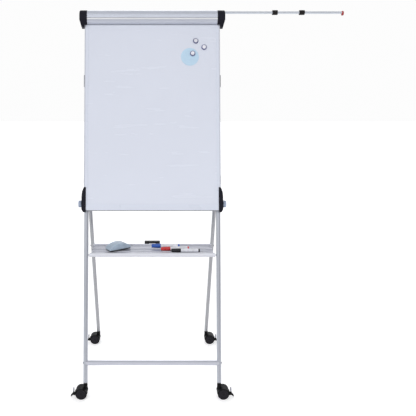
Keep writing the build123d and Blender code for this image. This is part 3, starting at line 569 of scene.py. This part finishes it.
def build_pedal(corner, pivot, out, axle):
    """Forked brake pedal: a grey upright finger to lift, a ribbed lower arm to tread on."""
    bm = bmesh.new()
    barrel = [(1.55, -8.5), (3.6, -8.5), (4.0, -8.1), (4.0, 8.1), (3.6, 8.5), (1.55, 8.5), (1.55, -8.5)]
    add_lathe(bm, barrel, pivot, axle, 32)
    fork = rounded([(1, 3.8), (4.6, 6.5), (3.9, 17), (9.0, 17), (9.6, 6), (12, 2.5), (22, -8.6), (22.2, -11),
                    (19.8, -12.2), (9.5, -3.6), (3, -3.2)], 1.2)
    add_prism(bm, fork, pivot, out, UP, axle, -8.5, 8.5)
    finger = rounded([(3.95, 16), (3.8, 31), (4.6, 33), (8.4, 32.6), (9.1, 16)], 0.9)
    add_prism(bm, finger, pivot, out, UP, axle, -8.2, 8.2, 1)
    for k in range(4):          # ribs down the lower arm
        a, b = 12.6 + 2.4 * k, 1.9 - 2.66 * k
        add_prism(bm, [(a - 0.2, b - 0.3), (a + 0.5, b + 0.5), (a + 1.0, b - 0.1), (a + 0.3, b - 0.9)],
                  pivot, out, UP, axle, -7.4, 7.4)
    piece(f"pedal_{corner}", bm, f"pedal_{corner}", ("castor_plastic", "pedal_grey"),
          (f"castor_pedal_{corner}",), bevel=0.4)


for pair, side in corners:
    corner = f"{pair}_{side}"
    out = ACROSS * sides[side]
    axle = out.cross(UP)
    ground = Vector(joints[f"castor_{corner}_swivel"]["pos_m"])
    ground.z = 0
    hub = ground + (out * TRAIL + UP * HUB_HEIGHT) * mm
    pivot = ground + (out * PEDAL_PIVOT[0] + UP * PEDAL_PIVOT[1]) * mm
    build_wheels(corner, hub, out, axle)
    build_hood(corner, ground, hub, pivot, out, axle)
    build_pedal(corner, pivot, out, axle)


# ---- clamp knobs ---------------------------------------------------------------------------
def lobes(ring, turn):
    """Eight finger hollows round the rings of the grip."""
    depth = 0.07 if 4 <= ring <= 9 else 0.0
    return 1.0 - depth * (0.5 + 0.5 * cos(8 * turn)) ** 3


def build_knob(side):
    """Clamp knob on the end of its screw, with a dished face."""
    node = f"clamp_knob_{side}"
    low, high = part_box(node)
    centre = (low + high) / 2
    centre.x = 0
    start, end = sorted((abs(low.x) / mm, abs(high.x) / mm))
    grip_low = end - 16.5
    profile = [(0, start), (4.0, start), (4.0, grip_low - 2.4), (9.0, grip_low - 2.4),
               (16.4, grip_low + 0.4), (17.6, grip_low + 1.6), (18.0, grip_low + 4.0), (17.9, end - 5.0),
               (17.0, end - 2.4), (14.4, end - 0.9), (10.6, end - 1.3), (9.8, end - 2.2),
               (8.8, end - 2.2), (8.2, end - 0.8), (4.0, end), (0, end)]
    bm = bmesh.new()
    add_lathe(bm, profile, centre, ACROSS * sides[side], 96, flute=lobes)
    piece(f"knob_{side}", bm, f"knob_{side}", ("knob_grey",), (node,), smooth=40)


for side in sides:
    build_knob(side)


# ---- several solids in one node ------------------------------------------------------------
def islands(node):
    """The node's separate solids, each as a list of points."""
    bm = bmesh.new()
    bm.from_mesh(nodes[node].data)
    bmesh.ops.remove_doubles(bm, verts=bm.verts, dist=1e-7)
    left, found = set(bm.verts), []
    for first in bm.verts:
        if first not in left:
            continue
        left.remove(first)
        stack, group = [first], []
        while stack:
            vert = stack.pop()
            group.append(vert.co.copy())
            for edge in vert.link_edges:
                other = edge.other_vert(vert)
                if other in left:
                    left.remove(other)
                    stack.append(other)
        found.append(group)
    bm.free()
    return found


def centre_of(points, axes):
    """Middle of the points along the given axes, as a world point, and their half sizes."""
    centre, half = Vector((0, 0, 0)), []
    for axis in axes:
        along = [p.dot(axis) for p in points]
        centre += axis * ((min(along) + max(along)) / 2)
        half.append((max(along) - min(along)) / 2)
    return centre, half


# ---- magnets -------------------------------------------------------------------------------
def knurl(ring, turn):
    """Fine flutes round a magnet's skirt."""
    return 1.0 - (0.02 * (0.5 + 0.5 * cos(36 * turn)) if 2 <= ring <= 3 else 0.0)


def build_magnet(index, centre, half):
    """Magnet with a dark tapered skirt and a domed top painted bright as a highlight."""
    tall = 2 * half[1] / mm
    profile = [(0, 0), (13.4, 0), (14.0, 0.5), (14.0, 2.4), (13.6, 3.4), (12.4, 5.0), (10.6, tall - 1.6),
               (9.4, tall - 0.8), (8.2, tall - 0.5), (6.4, tall - 0.1), (3.2, tall), (0, tall)]
    bands = [1] * 7 + [0] * 4
    bm = bmesh.new()
    add_lathe(bm, profile, centre + REARWARD * half[1], -REARWARD, 144, bands, knurl)
    piece(f"magnet_{index}", bm, "board", ("magnet_chrome", "magnet_ring"), ("magnets",))


board_axes = (ACROSS, REARWARD, UPLEG)
magnet_places = [centre_of(points, board_axes) for points in islands("magnets")]
for index, (centre, half) in enumerate(sorted(magnet_places, key=lambda place: place[0].x), 1):
    build_magnet(index, centre, half)


# ---- markers -------------------------------------------------------------------------------
MARKER_PROFILE = [(0, 0), (6.2, 0), (7.8, 0.6), (9.4, 2.2), (10.1, 24), (10.4, 30), (10.4, 46.8),
                  (9.9, 47.6), (9.0, 48), (9.0, 49.2), (9.4, 50), (9.4, 132), (9.1, 133), (8.9, 133.2),
                  (8.9, 134), (9.3, 134.2), (9.3, 139.2), (8.3, 140), (8.0, 146.4), (7.0, 147.6),
                  (4.6, 148), (0, 147.4)]
MARKER_BANDS = [0] * 9 + [1] * 7 + [0] * 5      # cap, barrel, plug
CAP_CLIP = [(10.3, 18), (10.8, 18), (11.2, 20), (11.2, 46), (10.8, 47), (10.2, 46.6), (10.2, 24)]


def ribs(ring, turn):
    """Grip ribs round the cap."""
    return 1.0 - (0.05 * (0.5 + 0.5 * cos(14 * turn)) ** 2 if 3 <= ring <= 4 else 0.0)


def build_marker(points, cap):
    """Marker with a coloured cap and plug, and the clip on its cap as a piece of its own."""
    first_x = min(p.x for p in points)
    last_x = max(p.x for p in points)
    head_points = [p for p in points if p.x < first_x + 8 * mm]
    tail_points = [p for p in points if p.x > last_x - 5 * mm]
    head = sum(head_points, Vector()) / len(head_points)
    tail = sum(tail_points, Vector()) / len(tail_points)
    axis = (tail - head).normalized()
    head = head + axis * (min(p.dot(axis) for p in points) - head.dot(axis))
    name = cap.replace("cap", "marker")
    bm = bmesh.new()
    add_lathe(bm, MARKER_PROFILE, head, axis, 56, MARKER_BANDS, ribs)
    piece(name, bm, "tray", (cap, "marker_body"), ("markers",), smooth=30)
    level = axis.cross(UP).normalized()
    leaning = (UP * 0.5 + level * 0.866).normalized()
    bm = bmesh.new()
    add_prism(bm, [(along, reach - 0.9) for reach, along in CAP_CLIP], head, axis, leaning,
              axis.cross(leaning), -1.6, 1.6)
    piece(f"{name}_clip", bm, "tray", (cap,), bevel=0.25)


marker_solids = sorted(islands("markers"), key=lambda points: min(p.x for p in points))
for points, cap in zip(marker_solids, ("cap_blue", "cap_red", "cap_black")):
    build_marker(points, cap)

# ---- eraser: an arch of hard shell on a felt sole, leaning on the tray's lip and rear step ---
LIP_TO_STEP = Vector((0, 76.0, 1.5))
ERASER_TURN = radians(33)
END_TALL = 12.0
slope = LIP_TO_STEP.normalized()
long_way = ACROSS * cos(ERASER_TURN) + slope * sin(ERASER_TURN)
upright = Vector((0, -slope.z, slope.y))
wide_way = upright.cross(long_way)
eraser_points = [v.co.copy() for v in nodes["eraser"].data.vertices]
centre, half = centre_of(eraser_points, (long_way, wide_way, upright))
half_long, half_wide, eraser_tall = half[0] / mm, half[1] / mm, 2 * half[2] / mm
sole = centre - upright * half[2]
arch_radius = (half_long ** 2 + (eraser_tall - END_TALL) ** 2) / (2 * (eraser_tall - END_TALL))


def arch_height(a):
    """Height of the arch's top, a millimetres from its middle."""
    return eraser_tall - arch_radius + (arch_radius ** 2 - a ** 2) ** 0.5


def eraser_slice(a, low, high, wide, soften):
    """Outline across the eraser at a: a box with its two upper edges rounded."""
    flat = wide - soften
    outline = [(-wide, low), (wide, low)] + arc(flat, high - soften, soften, 0, 90, 6)
    outline += [(flat * (1 - k / 10), high) for k in range(1, 20)]
    outline += arc(-flat, high - soften, soften, 90, 180, 6)
    return [sole + (long_way * a + wide_way * w + upright * z) * mm for w, z in outline]


def rounding(gone, radius):
    """How far an edge of this radius draws in, at a distance from the end."""
    return radius - (radius ** 2 - (radius - gone) ** 2) ** 0.5 if gone < radius else 0.0


def build_eraser_felt():
    """The sole, drawn in a little at both ends."""
    ends = [(2.6 - half_long, 2.5), (5.0 - half_long, 0.2), (9.0 - half_long, 0)]
    ends += [(-a, inset) for a, inset in reversed(ends)]
    bm = bmesh.new()
    add_loft(bm, [eraser_slice(a, 0, 6.2, half_wide - 1.6 - inset, 0.8) for a, inset in ends])
    piece("eraser_felt", bm, "tray", ("felt",), ("eraser",), smooth=50)


def press_finger_hollow(bm):
    """Presses an oval hollow into the shell's far slope."""
    middle, long_half, wide_half, depth, steepness = 26, 24, 15, 3.0, 0.55
    for vert in bm.verts:
        point = (vert.co - sole) / mm
        a, w, z = point.dot(long_way), point.dot(wide_way), point.dot(upright)
        oval = ((a - middle) / long_half) ** 2 + (w / wide_half) ** 2
        if z > arch_height(a) - depth and oval < 1:
            vert.co -= upright * (depth * (1 - oval) ** steepness * mm)


def build_eraser_shell():
    """The arched shell, sliced more closely towards its rounded ends."""
    steps = 24
    slices = []
    for k in range(-steps, steps + 1):
        share = k / steps
        a = half_long * share * (1.5 - 0.5 * abs(share))
        gone = half_long - abs(a)
        top = arch_height(a) - rounding(gone, 2.0)
        slices.append(eraser_slice(a, 5.6, top, half_wide - rounding(gone, 5.0), 2.6))
    bm = bmesh.new()
    add_loft(bm, slices)
    press_finger_hollow(bm)
    piece("eraser_shell", bm, "tray", ("eraser_body",), ("eraser",), smooth=60)


build_eraser_felt()
build_eraser_shell()

# ---- side arm: paper clips and end tip -----------------------------------------------------
arm_low, arm_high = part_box("arm_rod")
arm_axis = (arm_low + arm_high) / 2
arm_axis.x = 0


def build_paper_clip(which):
    """A sprung ring on the arm with a jaw behind it and ribs on top."""
    node = f"arm_clip_{which}"
    low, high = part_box(node)
    start, end = low.x / mm, high.x / mm
    rise = (high.z - arm_axis.z) / mm
    far = (high.y - arm_axis.y) / mm
    ring = arc(0, 0, rise - 0.1, 250, -70, 30) + arc(0, 0, 6.42, -70, 250, 30)
    jaw = rounded([(-far, -3.0), (-far, rise - 2.6), (-far + 2.0, rise - 0.4), (-6.8, rise - 1.0),
                   (-6.8, -3.0)], 1.0)
    rib = [(-3, rise - 0.4), (3, rise - 0.4), (2.4, rise), (-2.4, rise)]
    ribs_along, rib_inset = 5, 4
    bm = bmesh.new()
    add_prism(bm, ring, arm_axis, -BACK, UP, ACROSS, start, end)
    add_prism(bm, jaw, arm_axis, -BACK, UP, ACROSS, start + 1.5, end - 1.5)
    for k in range(ribs_along):
        at = start + rib_inset + k * (end - start - 2 * rib_inset) / (ribs_along - 1)
        add_prism(bm, rib, arm_axis, -BACK, UP, ACROSS, at - 0.7, at + 0.7)
    piece(f"paper_clip_{which}", bm, f"clip_{which}", ("grip_black",), (node,), bevel=0.4)


def build_arm_tip():
    """The soft tip on the arm's end: a rounded sleeve, taller than it is wide."""
    low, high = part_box("arm_tip")
    middle = Vector((low.x, arm_axis.y, (low.z + high.z) / 2))
    length = (high.x - low.x) / mm
    half_width = 7.5
    half_height = (high.z - low.z) / mm / 2
    segments = 48
    rings = []
    for along, scale in ((0, 0.9), (0.6, 0.98), (1.4, 1.0), (length * 0.55, 1.0), (length * 0.8, 0.93),
                         (length * 0.95, 0.78), (length, 0.5)):
        ring = []
        for k in range(segments):
            turn = 2 * pi * k / segments
            shift = (half_height - half_width) * (1 if sin(turn) >= 0 else -1)
            rise = (half_width * sin(turn) + shift) * scale
            ring.append(middle + (ACROSS * along + BACK * (half_width * scale * cos(turn)) + UP * rise) * mm)
        rings.append(ring)
    bm = bmesh.new()
    add_loft(bm, rings)
    piece("arm_end_tip", bm, "arm", ("tip_red",), ("arm_tip",), smooth=50)


for which in ("inner", "outer"):
    build_paper_clip(which)
build_arm_tip()


# ---- hook grip of the tray -----------------------------------------------------------------
def build_hook_grip():
    """Ribbed moulding with a round saddle underneath, which sits on the rear crossbar."""
    low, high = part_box("hook_grip")
    bar_low, bar_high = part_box("rear_crossbar")
    base = Vector(((low.x + high.x) / 2, (low.y + high.y) / 2, low.z))
    bar = ((bar_low + bar_high) / 2 - base) / mm
    grip_half = (high.x - low.x) / mm / 2
    deep = (high.y - low.y) / mm / 2
    tall = (high.z - low.z) / mm
    saddle_radius, crown_radius = 10.3, 5
    opening = (saddle_radius ** 2 - bar.z ** 2) ** 0.5
    start_angle = degrees(atan2(-bar.z, opening))
    section = [(-deep, 0), (-deep, tall - crown_radius)]
    section += arc(-deep + crown_radius, tall - crown_radius, crown_radius, 180, 90, 5)[1:]
    section += arc(deep - crown_radius, tall - crown_radius, crown_radius, 90, 0, 5) + [(deep, 0)]
    section += arc(bar.y, bar.z, saddle_radius, start_angle, 180 - start_angle, 16)
    rib = rounded([(-deep, 4), (-deep, tall - 6), (-deep + 3, tall - 3), (-deep + 3, 4)], 1.2)
    ribs_along, rib_inset = 9, 8
    bm = bmesh.new()
    add_prism(bm, section, base, BACK, UP, ACROSS, 1.2 - grip_half, grip_half - 1.2)
    for k in range(ribs_along):
        at = -grip_half + rib_inset + k * 2 * (grip_half - rib_inset) / (ribs_along - 1)
        add_prism(bm, rib, base, BACK, UP, ACROSS, at - 1.1, at + 1.1)
    piece("hook_grip_moulding", bm, "tray", ("grip_black",), ("hook_grip",), bevel=0.6)


build_hook_grip()


# ---- bolts with hexagon sockets ------------------------------------------------------------
def hexagon(ring, turn):
    """Draws the rings of the socket in to six sides."""
    return 1.0 - 0.07 * (0.5 - 0.5 * cos(6 * turn)) if ring in (8, 9) else 1.0


def build_bolts(node, body, radius):
    """Button-head bolts at both ends of a crossbar: shank, domed head and socket."""
    low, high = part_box(node)
    centre = (low + high) / 2
    centre.x = 0
    height, shank_length = 3.5, 36.5
    face = high.x / mm - height
    profile = [(0, face - shank_length), (2.98, face - shank_length), (2.98, face), (radius * 0.96, face),
               (radius, face + 0.3), (radius * 0.93, face + height * 0.6),
               (radius * 0.72, face + height * 0.92), (radius * 0.52, face + height),
               (radius * 0.48, face + height), (radius * 0.47, face + height * 0.4),
               (0, face + height * 0.35)]
    bm = bmesh.new()
    for sign in (-1, 1):
        add_lathe(bm, profile, centre, ACROSS * sign, 36, flute=hexagon)
    piece(node + "_domed", bm, body, ("steel",), (node,), smooth=30)


build_bolts("crossbar_bolts", "front_frame", 5.5)
build_bolts("rear_crossbar_bolts", "rear_frame", 5.0)


# ---- floor, light and camera ---------------------------------------------------------------
def lay_floor():
    """Pale floor that glows for the camera alone; for other rays it carries painted light that is pale near the
    easel and darkens far away, which the metal mirrors.
    """
    reach = 30.0
    ends = [(reach * x, reach * y, 0) for x, y in ((-1, -1), (1, -1), (1, 1), (-1, 1))]
    mesh = bpy.data.meshes.new("floor")
    mesh.from_pydata(ends, [], [(0, 1, 2, 3)])
    floor = bpy.data.objects.new("floor", mesh)
    bpy.context.scene.collection.objects.link(floor)
    s = Shader("floor_paint", 0.0, Emission_Color=(1, 1, 1, 1))
    cloud = s.noise(0.8, detail=2)
    to_camera = s.node("ShaderNodeLightPath").outputs["Is Camera Ray"]
    s.link(s.span(to_camera, 0.0, 0.42, (0, 1)), s.shader.inputs["Emission Strength"])
    pale = s.ramp(cloud, (0.3, (0.90, 0.90, 0.90)), (0.7, (0.93, 0.93, 0.93)))
    away = s.node("ShaderNodeVectorMath", operation="LENGTH")
    s.link(s.coords, away.inputs[0])
    far = s.span(away.outputs["Value"], 0.0, 1.0, (2.5, 7.0))
    # painted light on the floor: pale near the easel, dark far away
    light_pool = s.ramp(far, (0.0, (0.95, 0.95, 0.96)), (1.0, (0.35, 0.35, 0.36)))
    mesh.materials.append(s.finish(s.mix(to_camera, light_pool, pale), s.span(cloud, 0.7, 0.8)))


def paint_room():
    """White to the camera; in reflections brightest just above the horizon and on the left."""
    world = bpy.data.worlds.new("studio")
    bpy.context.scene.world = world
    world.use_nodes = True
    tree = world.node_tree
    room = tree.nodes["Background"]
    backdrop = tree.nodes.new("ShaderNodeBackground")
    backdrop.inputs["Color"].default_value = (1, 1, 1, 1)
    backdrop.inputs["Strength"].default_value = 0.98
    direction = tree.nodes.new("ShaderNodeSeparateXYZ")
    tree.links.new(tree.nodes.new("ShaderNodeTexCoord").outputs["Generated"], direction.inputs[0])
    by_height = tree.nodes.new("ShaderNodeValToRGB")
    levels = ((0.0, 0.42), (0.10, 0.50), (0.28, 0.92), (0.46, 0.86), (0.64, 0.66), (0.85, 0.48))
    set_stops(by_height.color_ramp, [(z, (level, level, level * 1.02)) for z, level in levels])
    tree.links.new(direction.outputs["Z"], by_height.inputs["Fac"])
    tree.links.new(by_height.outputs["Color"], room.inputs["Color"])
    sideways = tree.nodes.new("ShaderNodeMapRange")
    for socket, value in (("From Min", -1.0), ("From Max", 1.0), ("To Min", 1.20), ("To Max", 0.72)):
        sideways.inputs[socket].default_value = value
    tree.links.new(direction.outputs["X"], sideways.inputs["Value"])
    tree.links.new(sideways.outputs["Result"], room.inputs["Strength"])
    mixer = tree.nodes.new("ShaderNodeMixShader")
    tree.links.new(tree.nodes.new("ShaderNodeLightPath").outputs["Is Camera Ray"], mixer.inputs[0])
    tree.links.new(room.outputs[0], mixer.inputs[1])
    tree.links.new(backdrop.outputs[0], mixer.inputs[2])
    tree.links.new(mixer.outputs[0], tree.nodes["World Output"].inputs["Surface"])


def hang_light(name, aim, angle, strength, mirrored):
    """A broad soft sun; one that isn't mirrored leaves the metal's reflections to the room."""
    data = bpy.data.lights.new(name, "SUN")
    data.angle = radians(angle)
    data.energy = strength
    lamp = bpy.data.objects.new(name, data)
    lamp.location = -3 * Vector(aim)
    lamp.visible_glossy = mirrored
    lamp.rotation_euler = Vector(aim).to_track_quat("-Z", "Y").to_euler()
    bpy.context.scene.collection.objects.link(lamp)


def place_camera():
    """Looks slightly down at the easel, which stands left of the picture's middle."""
    data = bpy.data.cameras.new("camera")
    data.sensor_width = 36.0
    data.lens = 45.5712
    data.shift_x = 0.133894
    camera = bpy.data.objects.new("camera", data)
    camera.location = (0, -2.7417, 1.4993)
    camera.rotation_euler = (pi / 2 - radians(11.898), 0, 0)
    bpy.context.scene.collection.objects.link(camera)
    bpy.context.scene.camera = camera
    bpy.context.scene.view_settings.view_transform = "Standard"


lay_floor()
paint_room()
hang_light("key", (0.30, 0.90, -0.50), 60, 0.9, False)
hang_light("fill", (-0.7, 0.6, -0.35), 60, 0.15, False)
hang_light("rim", (-0.25, -1.0, -0.6), 50, 0.5, True)
place_camera()
